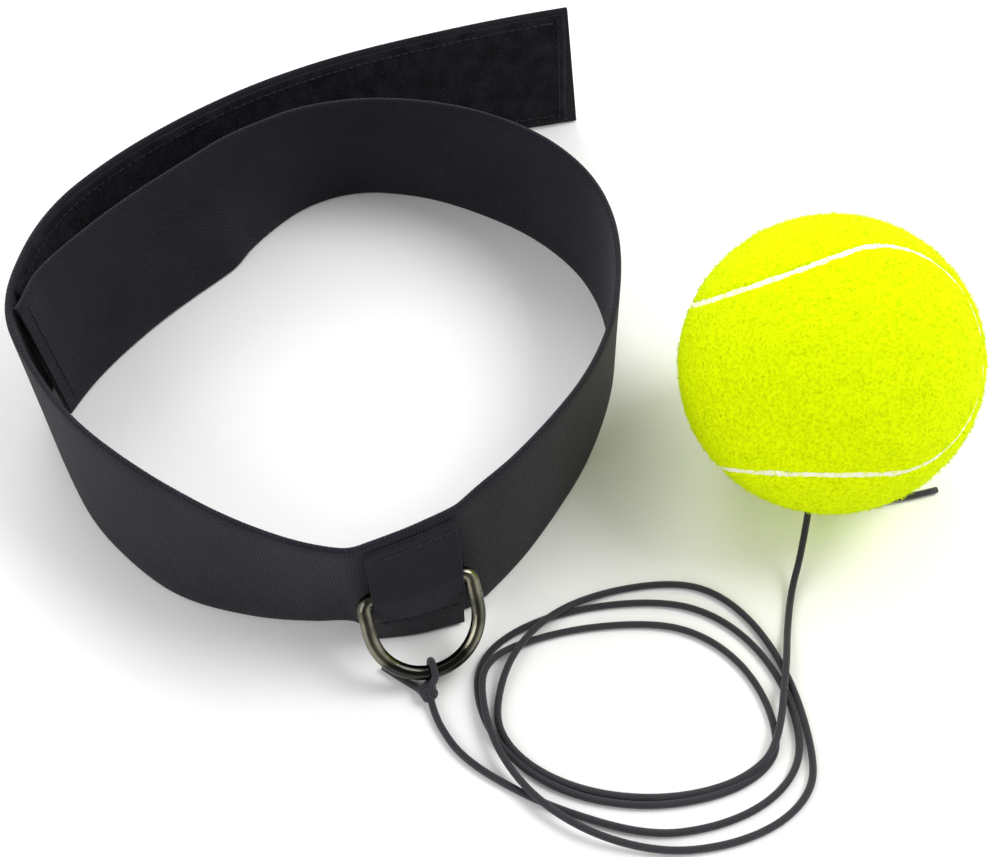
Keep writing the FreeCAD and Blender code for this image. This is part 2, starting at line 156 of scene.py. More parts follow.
CAMERA_PLACE = (0.003, -0.2255, 0.2502)
CAMERA_LENS = 48.5
CAMERA_DOWN = math.radians(51.3)
CAMERA_ROLL = math.radians(0.8)


def make_camera():
    """The camera at the photograph's viewing angle, turned a little about its own axis."""
    data = bpy.data.cameras.new("camera")
    data.sensor_width = 36.0
    data.lens = CAMERA_LENS
    data.clip_start = 0.01
    camera = bpy.data.objects.new("camera", data)
    bpy.context.scene.collection.objects.link(camera)
    forward = Vector((0.0, math.cos(CAMERA_DOWN), -math.sin(CAMERA_DOWN)))
    level_up = Vector((0.0, math.sin(CAMERA_DOWN), math.cos(CAMERA_DOWN)))
    level_right = Vector((1.0, 0.0, 0.0))
    right = level_right * math.cos(CAMERA_ROLL) + level_up * math.sin(CAMERA_ROLL)
    up = level_up * math.cos(CAMERA_ROLL) - level_right * math.sin(CAMERA_ROLL)
    turn = Matrix((right, up, -forward)).transposed()
    camera.matrix_world = Matrix.Translation(CAMERA_PLACE) @ turn.to_4x4()
    bpy.context.scene.camera = camera


def add_area_light(name, place, size, power):
    """A round soft light that faces the middle of the floor."""
    data = bpy.data.lights.new(name, "AREA")
    data.shape = "DISK"
    data.size = size
    data.energy = power
    light = bpy.data.objects.new(name, data)
    bpy.context.scene.collection.objects.link(light)
    light.location = place
    light.rotation_euler = (-Vector(place)).to_track_quat("-Z", "Y").to_euler()


# Degrees from the dim patch's middle to where it starts to fade and to where it has gone.
PATCH_INNER = 35.0
PATCH_OUTER = 60.0


def make_studio(strength, shaded, toward):
    """White surroundings with one dim patch, so that polished metal shows a dark middle.

    The patch has shaded times the strength of the rest, and its middle lies toward a direction.
    """
    world = bpy.data.worlds.new("studio")
    world.use_nodes = True
    nodes, links = world.node_tree.nodes, world.node_tree.links
    facing = nodes.new("ShaderNodeVectorMath")
    facing.operation = "DOT_PRODUCT"
    links.new(nodes.new("ShaderNodeTexCoord").outputs["Generated"], facing.inputs[0])
    facing.inputs[1].default_value = Vector(toward).normalized()
    patch = nodes.new("ShaderNodeMapRange")
    patch.inputs["From Min"].default_value = math.cos(math.radians(PATCH_OUTER))
    patch.inputs["From Max"].default_value = math.cos(math.radians(PATCH_INNER))
    patch.inputs["To Min"].default_value = strength
    patch.inputs["To Max"].default_value = strength * shaded
    links.new(facing.outputs["Value"], patch.inputs["Value"])
    links.new(patch.outputs["Result"], nodes["Background"].inputs["Strength"])
    nodes["Background"].inputs["Color"].default_value = (1.0, 1.0, 1.0, 1.0)
    bpy.context.scene.world = world


def make_lights():
    """Three soft lights in white surroundings, with the colours shown as they are."""
    add_area_light("key_light", (0.75, 0.15, 0.95), size=0.7, power=8.0)
    add_area_light("fill_light", (-0.85, -0.75, 0.75), size=1.0, power=7.0)
    add_area_light("back_light", (-0.35, 1.0, 0.70), size=0.7, power=5.0)
    make_studio(strength=1.1, shaded=0.15, toward=(0.0, -0.62, 0.78))
    bpy.context.scene.view_settings.view_transform = "Standard"


# ---------------------------------------------------------------- materials

def colour(red, green, blue):
    """A colour on the 0 to 255 screen scale, as the shader's linear values."""
    linear = [(value / 255.0) ** 2.2 for value in (red, green, blue)]
    return (*linear, 1.0)


WHITE = (1.0, 1.0, 1.0, 1.0)


class Finish:
    """A Principled material and short calls that add its nodes."""

    def __init__(self, name, roughness=0.8, metallic=0.0, sheen=0.0, specular=0.5, tint=WHITE):
        self.material = bpy.data.materials.new(name)
        self.material.use_nodes = True
        self.nodes = self.material.node_tree.nodes
        self.links = self.material.node_tree.links
        self.shader = self.nodes["Principled BSDF"]
        self.shader.inputs["Roughness"].default_value = roughness
        self.shader.inputs["Metallic"].default_value = metallic
        self.shader.inputs["Sheen Weight"].default_value = sheen
        self.shader.inputs["Sheen Roughness"].default_value = 0.4
        self.shader.inputs["Sheen Tint"].default_value = tint
        self.shader.inputs["Specular IOR Level"].default_value = specular

    def put(self, socket, value):
        """A value, or the output of another node, into a socket."""
        if isinstance(value, bpy.types.NodeSocket):
            self.links.new(value, socket)
        else:
            socket.default_value = value

    def add(self, kind, **settings):
        node = self.nodes.new(kind)
        for name, value in settings.items():
            setattr(node, name, value)
        return node

    def maths(self, operation, first, second=0.0):
        node = self.add("ShaderNodeMath", operation=operation)
        self.put(node.inputs[0], first)
        self.put(node.inputs[1], second)
        return node.outputs[0]

    def surface_axes(self):
        """The surface's own two directions, in metres along and across."""
        split = self.add("ShaderNodeSeparateXYZ")
        self.links.new(self.add("ShaderNodeUVMap").outputs["UV"], split.inputs[0])
        return split.outputs["X"], split.outputs["Y"]

    def place(self):
        return self.add("ShaderNodeTexCoord").outputs["Object"]

    def grain(self, scale, detail=3.0, vector=None):
        """Noise from 0 to 1; scale is in lumps per metre."""
        node = self.add("ShaderNodeTexNoise")
        node.inputs["Scale"].default_value = scale
        node.inputs["Detail"].default_value = detail
        self.put(node.inputs["Vector"], vector if vector is not None else self.place())
        return node.outputs["Fac"]

    def wave(self, along, pitch):
        """Sine of a distance; one full wave takes two pitches."""
        return self.maths("SINE", self.maths("MULTIPLY", along, math.pi / pitch))

    def between(self, value, low, high):
        """Value stretched so that low becomes 0 and high becomes 1."""
        node = self.add("ShaderNodeMapRange")
        self.put(node.inputs["Value"], value)
        node.inputs["From Min"].default_value = low
        node.inputs["From Max"].default_value = high
        return node.outputs["Result"]

    def mix(self, share, first, second):
        node = self.add("ShaderNodeMix", data_type="RGBA")
        self.put(node.inputs["Factor"], share)
        self.put(node.inputs["A"], first)
        self.put(node.inputs["B"], second)
        return node.outputs["Result"]

    def relief(self, height, depth, under=None):
        """Bump of a 0 to 1 height; depth in metres."""
        node = self.add("ShaderNodeBump")
        node.inputs["Distance"].default_value = depth
        self.put(node.inputs["Height"], height)
        if under is not None:
            self.put(node.inputs["Normal"], under)
        return node.outputs["Normal"]

    def dress(self, base=None, roughness=None, normal=None):
        for name, value in (("Base Color", base), ("Roughness", roughness), ("Normal", normal)):
            if value is not None:
                self.put(self.shader.inputs[name], value)
        return self.material


def webbing_finish(name, dark, light, pitch_along, pitch_up, depth):
    """Plain-woven webbing: yarns that pass over and under each other, with lint and wear."""
    finish = Finish(name, sheen=0.08, specular=0.15)
    along, up = finish.surface_axes()
    crossing = finish.maths("MULTIPLY", finish.wave(along, pitch_along), finish.wave(up, pitch_up))
    yarn = finish.maths("POWER", finish.maths("ABSOLUTE", crossing), 0.55)
    over = finish.between(crossing, -0.5, 0.5)
    wear = finish.grain(55.0, 4.0)
    fibre = finish.grain(2600.0, 2.0)
    level = finish.maths("ADD", finish.maths("MULTIPLY", yarn, 0.5), finish.maths("MULTIPLY", over, 0.2))
    level = finish.maths("ADD", level, finish.maths("MULTIPLY", finish.between(wear, 0.3, 0.7), 0.3))
    base = finish.mix(level, dark, light)
    height = finish.maths("ADD", yarn, finish.maths("MULTIPLY", over, 0.35))
    normal = finish.relief(fibre, 0.00005, finish.relief(height, depth))
    roughness = finish.maths("ADD", 0.68, finish.maths("MULTIPLY", fibre, 0.25))
    return finish.dress(base, roughness, normal)


def hook_finish():
    """Moulded hook tape: slightly glossy nylon with fine scratches."""
    finish = Finish("hook_nylon", specular=0.4)
    scratches = finish.grain(900.0, 5.0)
    dust = finish.grain(160.0, 3.0)
    base = finish.mix(finish.between(dust, 0.35, 0.75), colour(22, 22, 27), colour(38, 38, 44))
    roughness = finish.maths("ADD", 0.38, finish.maths("MULTIPLY", scratches, 0.3))
    return finish.dress(base, roughness, finish.relief(scratches, 0.00006))


def pile_finish():
    """Brushed loop tape: a soft, matted pile that catches light in patches."""
    finish = Finish("loop_pile_fabric", roughness=0.95, sheen=0.12, specular=0.08)
    brushed = finish.grain(210.0, 4.0)
    loops = finish.grain(1700.0, 3.0)
    base = finish.mix(finish.between(brushed, 0.35, 0.7), colour(26, 26, 31), colour(38, 38, 45))
    normal = finish.relief(loops, 0.0002, finish.relief(brushed, 0.0001))
    return finish.dress(base, None, normal)


def thread_finish():
    """Twisted sewing thread: slanting strands along each stitch."""
    finish = Finish("sewing_thread", roughness=0.65, sheen=0.05, specular=0.2)
    along, around = finish.surface_axes()
    twist = finish.maths("ADD", along, finish.maths("MULTIPLY", around, 0.0009))
    strand = finish.maths("ABSOLUTE", finish.wave(twist, 0.00045))
    base = finish.mix(strand, colour(26, 26, 31), colour(46, 46, 53))
    return finish.dress(base, None, finish.relief(strand, 0.00008))


def ring_finish():
    """Black nickel wire: dark mirror with fine scratches and brighter rubbed patches."""
    finish = Finish("black_nickel", metallic=1.0)
    rubbed = finish.grain(120.0, 4.0)
    scratches = finish.grain(2200.0, 6.0)
    base = finish.mix(finish.between(rubbed, 0.45, 0.72), colour(58, 60, 55), colour(142, 139, 121))
    roughness = finish.maths("ADD", 0.05, finish.maths("MULTIPLY", scratches, 0.1))
    return finish.dress(base, roughness, finish.relief(scratches, 0.00002))


def cord_finish():
    """Braided cover of the elastic cord: two sets of strands that cross round it."""
    finish = Finish("cord_braid_cover", sheen=0.25, specular=0.3)
    along, around = finish.surface_axes()
    turn = finish.maths("MULTIPLY", around, 0.0036)
    left = finish.wave(finish.maths("ADD", along, turn), 0.0006)
    right = finish.wave(finish.maths("SUBTRACT", along, turn), 0.0006)
    strand = finish.maths("POWER", finish.maths("ABSOLUTE", finish.maths("MULTIPLY", left, right)), 0.6)
    lint = finish.grain(300.0, 4.0)
    shade = finish.maths("ADD", finish.maths("MULTIPLY", strand, 0.7), finish.maths("MULTIPLY", lint, 0.3))
    base = finish.mix(shade, colour(25, 24, 28), colour(62, 60, 67))
    roughness = finish.maths("ADD", 0.5, finish.maths("MULTIPLY", lint, 0.3))
    return finish.dress(base, roughness, finish.relief(strand, 0.00012))


def core_finish():
    """White rubber strands in a cut end of the cord."""
    finish = Finish("cord_core", roughness=0.6)
    strands = finish.grain(4000.0, 2.0)
    base = finish.mix(strands, colour(200, 198, 190), colour(250, 250, 245))
    return finish.dress(base, None, finish.relief(strands, 0.0001))


def rubber_finish():
    """Moulded rubber of the ball's core."""
    finish = Finish("moulded_rubber", roughness=0.7)
    cloud = finish.grain(90.0, 4.0)
    pores = finish.grain(1200.0, 3.0)
    base = finish.mix(cloud, colour(58, 54, 50), colour(82, 78, 73))
    return finish.dress(base, None, finish.relief(pores, 0.0001))


def felt_finish(name, shade, bright):
    """Fluorescent felt: matted fibres, with painted shade in the small gaps between the tufts."""
    finish = Finish(name, roughness=0.95, sheen=0.2, specular=0.03, tint=colour(225, 255, 30))
    tufts = finish.grain(1500.0, 4.0)
    mats = finish.grain(330.0, 4.0)
    # Painted shade: where the tufts sink, the colour goes from the bright colour to the shade colour.
    gaps = finish.between(tufts, 0.3, 0.58)
    base = finish.mix(gaps, shade, bright)
    height = finish.maths("ADD", finish.maths("MULTIPLY", tufts, 0.7), finish.maths("MULTIPLY", mats, 0.5))
    return finish.dress(base, None, finish.relief(height, 0.0005))


def seam_finish():
    """Cured rubber seam between the felt panels: cream, with stray felt dust."""
    finish = Finish("seam_cement", roughness=0.75)
    dust = finish.grain(700.0, 4.0)
    base = finish.mix(finish.between(dust, 0.5, 0.7), colour(250, 250, 225), colour(235, 245, 120))
    return finish.dress(base, None, finish.relief(dust, 0.0003))


def floor_finish():
    finish = Finish("studio_paper", roughness=0.9, specular=0.1)
    cloud = finish.grain(6.0, 2.0)
    base = finish.mix(cloud, (0.93, 0.93, 0.93, 1.0), (0.96, 0.96, 0.96, 1.0))
    return finish.dress(base)


WEBBING = webbing_finish("strap_weave", colour(18, 18, 22), colour(43, 42, 50), 0.00075, 0.00055, 0.00011)
TAB_WEBBING = webbing_finish("tab_weave", colour(22, 22, 27), colour(39, 39, 46), 0.0006, 0.0005, 0.00005)
HOOKS = hook_finish()
PILE = pile_finish()
THREAD = thread_finish()
RING = ring_finish()
CORD = cord_finish()
CORD_CORE = core_finish()
RUBBER = rubber_finish()
# The first colour of each felt is the painted shade in the gaps between its tufts.
FELT = felt_finish("ball_felt_cover", colour(207, 228, 0), colour(231, 253, 12))
FUZZ = felt_finish("ball_fuzz", colour(210, 231, 0), colour(232, 254, 24))
SEAM = seam_finish()
FLOOR = floor_finish()


# ---------------------------------------------------------------- building blocks

def add_mesh(name, points, faces, material, corner_uvs=None):
    """A smooth mesh object; corner_uvs gives each face corner's place on the surface."""
    mesh = bpy.data.meshes.new(name)
    mesh.from_pydata(points, [], faces)
    if corner_uvs is not None:
        layer = mesh.uv_layers.new(name="UVMap")
        layer.data.foreach_set("uv", [value for uv in corner_uvs for value in uv])
    mesh.shade_smooth()
    mesh.materials.append(material)
    piece = bpy.data.objects.new(name, mesh)
    bpy.context.scene.collection.objects.link(piece)
    return piece


class Shape:
    """Points, faces and surface places of a mesh, collected before it is made."""

    def __init__(self):
        self.points = []
        self.faces = []
        self.uvs = []

    def grid(self, rows, places, closed):
        """Rows of points, joined to each other; places are (u, v) for each point."""
        first = len(self.points)
        count = len(rows[0])
        for row in rows:
            self.points.extend(row)
        span = count if closed else count - 1
        for r in range(len(rows) - 1):
            for c in range(span):
                nxt = (c + 1) % count
                low = first + r * count
                high = low + count
                self.faces.append((low + c, low + nxt, high + nxt, high + c))
                u0, v0 = places[r][c]
                u1, v1 = places[r][c + 1]
                u2, v2 = places[r + 1][c + 1]
                u3, v3 = places[r + 1][c]
                self.uvs.extend([(u0, v0), (u1, v1), (u2, v2), (u3, v3)])

    def cap(self, ring, place, flip=False):
        """One flat face over a ring of points that are already in the shape."""
        self.faces.append(tuple(reversed(ring)) if flip else tuple(ring))
        self.uvs.extend([place] * len(ring))

    def tube(self, path, radii, sides):
        """A round tube with closed ends along a list of points."""
        first = len(self.points)
        ahead = (path[1] - path[0]).normalized()
        side = ahead.orthogonal().normalized()
        rows = []
        places = []
        travelled = 0.0
        for i, (point, radius) in enumerate(zip(path, radii)):
            before = path[max(i - 1, 0)]
            after = path[min(i + 1, len(path) - 1)]
            heading = (after - before).normalized()
            side = (side - heading * side.dot(heading)).normalized()
            across = heading.cross(side)
            if i:
                travelled += (point - path[i - 1]).length
            angles = [2 * math.pi * k / sides for k in range(sides)]
            rows.append([point + (side * math.cos(a) + across * math.sin(a)) * radius for a in angles])
            places.append([(travelled, k / sides) for k in range(sides + 1)])
        self.grid(rows, places, closed=True)
        last = first + (len(rows) - 1) * sides
        self.cap(range(first, first + sides), (0.0, 0.0), flip=True)
        self.cap(range(last, last + sides), (travelled, 0.0))

    def make(self, name, material):
        return add_mesh(name, self.points, self.faces, material, self.uvs)


def ease(share):
    return share * share * (3 - 2 * share)


def spline_line(points):
    """The smooth line that a NURBS spline draws through a route, as closely spaced points."""
    curve = bpy.data.curves.new("route", "CURVE")
    curve.dimensions = "3D"
    curve.resolution_u = 10
    spline = curve.splines.new("NURBS")
    spline.points.add(len(points) - 1)
    for control, point in zip(spline.points, points):
        control.co = (*point, 1.0)
    spline.order_u = 3
    spline.use_endpoint_u = True
    route = bpy.data.objects.new("route", curve)
    mesh = bpy.data.meshes.new_from_object(route)
    line = [vertex.co.copy() for vertex in mesh.vertices]
    bpy.data.objects.remove(route)
    bpy.data.meshes.remove(mesh)
    return line


def line_length(line):
    return sum((after - before).length for before, after in zip(line, line[1:]))


# ---------------------------------------------------------------- strap centre line

def heading_vector(degrees):
    angle = math.radians(degrees)
    return Vector((math.cos(angle), math.sin(angle), 0.0))


def advance(point, heading, length, turn):
    """Point and heading after one tangent arc of the centre line."""
    if abs(turn) < 1e-9:
        return point + heading_vector(heading) * length, heading
    radius = length / math.radians(turn)
    centre = point + heading_vector(heading + 90) * radius
    return centre - heading_vector(heading + turn + 90) * radius, heading + turn


def strap_at(station):
    """Point and heading of the centre line at a distance from the strap's inner end."""
    point, heading, left = STRAP_START, STRAP_HEADING, station
    for length, turn in STRAP_ARCS:
        if left <= length:
            return advance(point, heading, left, turn * left / length)
        point, heading = advance(point, heading, length, turn)
        left -= length
    return point, heading


def edge_slope(row, column):
    """How fast an edge moves sideways at one row of STRAP_EDGES; level at the two ends."""
    if row in (0, len(STRAP_EDGES) - 1):
        return 0.0
    before, after = STRAP_EDGES[row - 1], STRAP_EDGES[row + 1]
    return (after[column] - before[column]) / (after[0] - before[0])


def edge_at(station, column):
    """Sideways place of the top (column 1) or bottom (column 2) edge: a smooth curve by station."""
    row = 0
    while row < len(STRAP_EDGES) - 2 and station > STRAP_EDGES[row + 1][0]:
        row += 1
    first, last = STRAP_EDGES[row], STRAP_EDGES[row + 1]
    span = last[0] - first[0]
    share = min(1.0, max(0.0, (station - first[0]) / span))
    start_pull = edge_slope(row, column) * span * share * (1 - share) ** 2
    end_pull = edge_slope(row + 1, column) * span * share ** 2 * (1 - share)
    place = first[column] + (last[column] - first[column]) * ease(share)
    return place + start_pull - end_pull


def strap_axes(station):
    """Middle of the strap at a station, and its outward and upward directions there."""
    point, heading = strap_at(station)
    outward = heading_vector(heading + 90)
    top, bottom = edge_at(station, 1), edge_at(station, 2)
    lean = math.asin((top - bottom) / STRAP_WIDTH)
    up = UP * math.cos(lean) + outward * math.sin(lean)
    out = outward * math.cos(lean) - UP * math.sin(lean)
    rise = STRAP_WIDTH / 2 * math.cos(lean) + STRAP_THICK / 2 * abs(math.sin(lean))
    return point + outward * (top + bottom) / 2 + UP * rise, out, up


def layer_profile(low, high, inside, outside, rows, edge):
    """Closed section of a flat layer: outer face upward, round top edge, inner face, bottom edge."""
    middle = (inside + outside) / 2
    half = (outside - inside) / 2
    section = []
    for k in range(rows + 1):
        section.append((low + edge + (high - low - 2 * edge) * k / rows, outside))
    for angle in (45, 90, 135):
        turn = math.radians(angle)
        section.append((high - edge + edge * math.sin(turn), middle + half * math.cos(turn)))
    for k in range(rows + 1):
        section.append((high - edge - (high - low - 2 * edge) * k / rows, inside))
    for angle in (225, 270, 315):
        turn = math.radians(angle)
        section.append((low + edge + edge * math.sin(turn), middle + half * math.cos(turn)))
    return section


# The small loops of the strap's woven edges: how far they stand out, the distance between them
# and the height of edge that they move.  Then the length over which a cut end's slant fades out.
SELVEDGE = 0.00006
SELVEDGE_PITCH = 0.001
SELVEDGE_HEIGHT = 0.0003
SLANT_REACH = 0.012


def ribbon(name, first, last, step, section, material, selvedge=0.0, slant=0.0):
    """A layer swept along the strap.

    Its edge loops stand out by selvedge, and its last end is cut askew by slant.
    """
    count = max(2, round((last - first) / step))
    low = min(height for height, offset in section)
    high = max(height for height, offset in section)
    shape = Shape()
    rows = []
    places = []
    for i in range(count + 1):
        station = first + (last - first) * i / count
        middle, out, up = strap_axes(station)
        heading = out.cross(up)
        loop = selvedge * abs(math.sin(math.pi * station / SELVEDGE_PITCH))
        askew = slant * ease(max(0.0, 1.0 - (last - station) / SLANT_REACH))
        row = []
        place = []
        for height, offset in section:
            place.append((station, height))
            slide = heading * askew * (height / STRAP_WIDTH - 0.5)
            if height > high - SELVEDGE_HEIGHT:
                height += loop - selvedge
            elif height < low + SELVEDGE_HEIGHT:
                height -= loop - selvedge
            row.append(middle + up * (height - STRAP_WIDTH / 2) + out * offset + slide)
        rows.append(row)
        places.append(place + place[:1])
    shape.grid(rows, places, closed=True)
    count_round = len(section)
    end = len(shape.points) - count_round
    shape.cap(range(count_round), (first, 0.0), flip=True)
    shape.cap(range(end, end + count_round), (last, 0.0))
    return shape.make(name, material)


# ---------------------------------------------------------------- strap, tapes and stitching

WEBBING_STEP = 0.00025
TAPE_THICK = 0.0006
# How far a tape reaches into the layer that it is sewn to.
TAPE_BITE = 0.0001
TAPE_EDGE = 0.0003
HOOK_TAPE_SPAN = (0.002, 0.052)
HOOK_TAPE_HEIGHTS = (0.002, 0.033)
HOOK_COLUMNS = 38
HOOK_ROWS = 20
LOOP_PANEL_SPAN = (STRAP_END - 0.182, STRAP_END - 0.002)
LOOP_PANEL_HEIGHTS = (0.0015, 0.0335)
LOOP_COUNT = 4900
TAIL_SLANT = -0.0025


def make_strap():
    """The webbing, in a head loop, a free tail, and a short length between them."""
    half = STRAP_THICK / 2
    section = layer_profile(0.0, STRAP_WIDTH, -half, half, 12, 0.0008)
    spans = [
        ("webbing_loop", 0.0, HINGE_STATION - BRIDGE_HALF, 0.0),
        ("webbing_bend", HINGE_STATION - BRIDGE_HALF, HINGE_STATION + BRIDGE_HALF, 0.0),
        ("webbing_tail", HINGE_STATION + BRIDGE_HALF, STRAP_END, TAIL_SLANT),
    ]
    loop, bend, tail = [
        ribbon(name, first, last, WEBBING_STEP, section, WEBBING, selvedge=SELVEDGE, slant=slant)
        for name, first, last, slant in spans
    ]
    hinge, heading = strap_at(HINGE_STATION)
    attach(loop, "headband")
    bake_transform(bend)
    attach(tail, "closure_tail")
    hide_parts("strap_loop")
    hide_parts("strap_loop", "strap_tail")
    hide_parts("strap_tail")


def make_hook_tape():
    """Stiff tape on the outside of the inner end, with its field of small hooks."""
    face = STRAP_THICK / 2
    base = face + TAPE_THICK
    first, last = HOOK_TAPE_SPAN
    low, high = HOOK_TAPE_HEIGHTS
    section = layer_profile(low, high, face - TAPE_BITE, base, 6, TAPE_EDGE)
    tape = ribbon("hook_tape_base", first, last, 0.001, section, HOOKS)
    hooks = Shape()
    # A hook's line, as (along the strap, away from the tape), and its thickness at each point.
    stem = [(0.0, 0.0), (0.00005, 0.0005), (0.00025, 0.0007), (0.0004, 0.00055)]
    stem_radii = (0.00013, 0.00011, 0.0001, 0.00006)
    for column in range(HOOK_COLUMNS):
        station = first + 0.0015 + (last - first - 0.003) * column / (HOOK_COLUMNS - 1)
        middle, out, up = strap_axes(station)
        heading = up.cross(out)
        for row in range(HOOK_ROWS):
            height = low + 0.0028 + (high - low - 0.0056) * row / (HOOK_ROWS - 1)
            root = middle + up * (height - STRAP_WIDTH / 2) + out * (base - TAPE_BITE)
            way = heading if (row + column) % 2 else -heading
            path = [root + way * along + out * rise for along, rise in stem]
            hooks.tube(path, stem_radii, 4)
    field = hooks.make("hook_field", HOOKS)
    for piece in (tape, field):
        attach(piece, "headband")
        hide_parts("hook_tape")


def make_loop_panel():
    """Soft panel on the inside of the tail: a brushed base with a pile of small loops."""
    face = -STRAP_THICK / 2
    base = face - TAPE_THICK
    first, last = LOOP_PANEL_SPAN
    low, high = LOOP_PANEL_HEIGHTS
    section = layer_profile(low, high, base, face + TAPE_BITE, 10, TAPE_EDGE)
    panel = ribbon("loop_panel_base", first, last, 0.0015, section, PILE)
    chance = random.Random(11)
    pile = Shape()
    for _ in range(LOOP_COUNT):
        station = chance.uniform(first + 0.001, last - 0.001)
        height = chance.uniform(low + 0.001, high - 0.001)
        middle, out, up = strap_axes(station)
        root = middle + up * (height - STRAP_WIDTH / 2) + out * base
        angle = chance.uniform(0, 2 * math.pi)
        way = (up * math.cos(angle) + up.cross(out) * math.sin(angle)) * chance.uniform(0.0002, 0.0005)
        rise = -out * chance.uniform(0.0002, 0.00045)
        path = [root - way, root - way * 0.8 + rise, root + way * 0.8 + rise, root + way]
        pile.tube(path, (0.00005,) * 4, 3)
    loops = pile.make("loop_pile_field", PILE)
    for piece in (panel, loops):
        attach(piece, "closure_tail")
        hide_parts("loop_panel")


STITCH_PITCH = 0.0022
STITCH_RISE = 0.00012
THREAD_RADIUS = 0.00022
# A stitch's line, as (share of the pitch, share of the rise).
STITCH_SHAPE = ((0.12, -0.6), (0.2, 0.5), (0.5, 1.0), (0.8, 0.5), (0.88, -0.6))


def sew(shape, ends):
    """Stitches along a straight or curved line; ends(share) gives a point and an outward way."""
    length = line_length([ends(k / 40)[0] for k in range(41)])
    count = max(1, round(length / STITCH_PITCH))
    for k in range(count):
        path = []
        for step, rise in STITCH_SHAPE:
            point, outward = ends((k + step) / count)
            path.append(point + outward * STITCH_RISE * rise)
        shape.tube(path, (THREAD_RADIUS,) * len(path), 6)


def row_along(first, last, height, offset, side):
    """A stitch line at one height of the strap."""
    def ends(share):
        station = first + (last - first) * share
        middle, out, up = strap_axes(station)
        return middle + up * (height - STRAP_WIDTH / 2) + out * offset, out * side
    return ends


def row_upright(station, low, high, offset, side):
    """A stitch line up the strap at one station."""
    middle, out, up = strap_axes(station)

    def ends(share):
        height = low + (high - low) * share
        return middle + up * (height - STRAP_WIDTH / 2) + out * offset, out * side
    return ends


def finish_stitching(shape, name, node, body):
    """Thread piece made from the stitches, on its body and in place of its CAD node."""
    piece = shape.make(name, THREAD)
    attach(piece, body)
    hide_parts(node)


def make_stitching():
    """Thread rows of the two tapes and of the strap's cut ends."""
    face = STRAP_THICK / 2
    tape_face = face + TAPE_THICK
    row_heights = (0.0035, 0.0315)
    foot, head = 0.0025, 0.0325
    hook_rows = Shape()
    first, last = HOOK_TAPE_SPAN
    for height in row_heights:
        sew(hook_rows, row_along(first + 0.001, last - 0.001, height, tape_face, 1.0))
    finish_stitching(hook_rows, "hook_tape_stitches", "hook_stitching", "headband")
    loop_rows = Shape()
    first, last = LOOP_PANEL_SPAN
    for height in row_heights:
        sew(loop_rows, row_along(first + 0.001, last - 0.0035, height, -tape_face, -1.0))
    finish_stitching(loop_rows, "loop_panel_stitches", "loop_stitching", "closure_tail")
    inner_row = Shape()
    sew(inner_row, row_upright(0.0033, foot, head, -face, -1.0))
    finish_stitching(inner_row, "inner_end_stitches", "inner_end_stitching", "headband")
    tail_row = Shape()
    sew(tail_row, row_upright(STRAP_END - 0.0042, foot, head, -tape_face, -1.0))
    finish_stitching(tail_row, "tail_end_stitches", "tail_end_stitching", "closure_tail")


# ---------------------------------------------------------------- ring tab

TAB_THICK = 0.0012
TAB_BOTTOM = 0.0002
TAB_TOP = 0.0330
TAB_HALF = 0.0096
TAB_TENT = 0.0032
TAB_FLARE = 0.0019
TAB_SEAM_LOW = 0.0088
TAB_SEAM_HIGH = TAB_TOP - 0.0022
TAB_GROOVE = 0.00012
TAB_GROOVE_REACH = 0.0016
TAB_SEAM_INSET = 0.0012


def tab_lift(height):
    """How far the tab stands off the strap.

    It is sewn flat at its top, lifted by the ring's bar, and hangs loose below the bar but for a
    shallow groove at the lower thread row.
    """
    if height > BAR_HEIGHT:
        away = min(1.0, (height - BAR_HEIGHT) / (TAB_TOP - BAR_HEIGHT))
        return TAB_TENT * (0.5 + 0.5 * math.cos(math.pi * away))
    hang = TAB_FLARE + (TAB_TENT - TAB_FLARE) * ease(height / BAR_HEIGHT)
    return hang - TAB_GROOVE * math.exp(-(((height - TAB_SEAM_LOW) / TAB_GROOVE_REACH) ** 2))


def make_tab():
    """Webbing patch with folded edges, sewn above and below the ring's bar."""
    low, high = TAB_BOTTOM, TAB_TOP
    face = STRAP_THICK / 2
    rows_up = 48
    section = []
    for k in range(rows_up + 1):
        height = low + 0.0005 + (high - low - 0.001) * k / rows_up
        section.append((height, face + TAB_THICK + tab_lift(height)))
    section.append((high - 0.0001, face + TAB_THICK * 0.85))
    section.append((high, face + TAB_THICK * 0.5))
    for k in range(rows_up + 1):
        height = high - 0.0005 - (high - low - 0.001) * k / rows_up
        section.append((height, face + 0.00005 + tab_lift(height)))
    section.append((low, face + TAB_THICK * 0.5))
    section.append((low + 0.0001, face + TAB_THICK * 0.85))
    first, last = TAB_STATION - TAB_HALF, TAB_STATION + TAB_HALF
    tab = ribbon("ring_tab_patch", first, last, 0.0004, section, TAB_WEBBING)
    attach(tab, "headband")
    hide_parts("ring_tab")
    rows = Shape()
    for height in (TAB_SEAM_LOW, TAB_SEAM_HIGH):
        outer = face + TAB_THICK + tab_lift(height)
        sew(rows, row_along(first + TAB_SEAM_INSET, last - TAB_SEAM_INSET, height, outer, 1.0))
    finish_stitching(rows, "ring_tab_stitches", "tab_stitching", "headband")


# ---------------------------------------------------------------- cord

CORD_SIDES = 12
# How far past the ball's surface the cord's line is led before it turns.
CORD_DIP = 0.0015
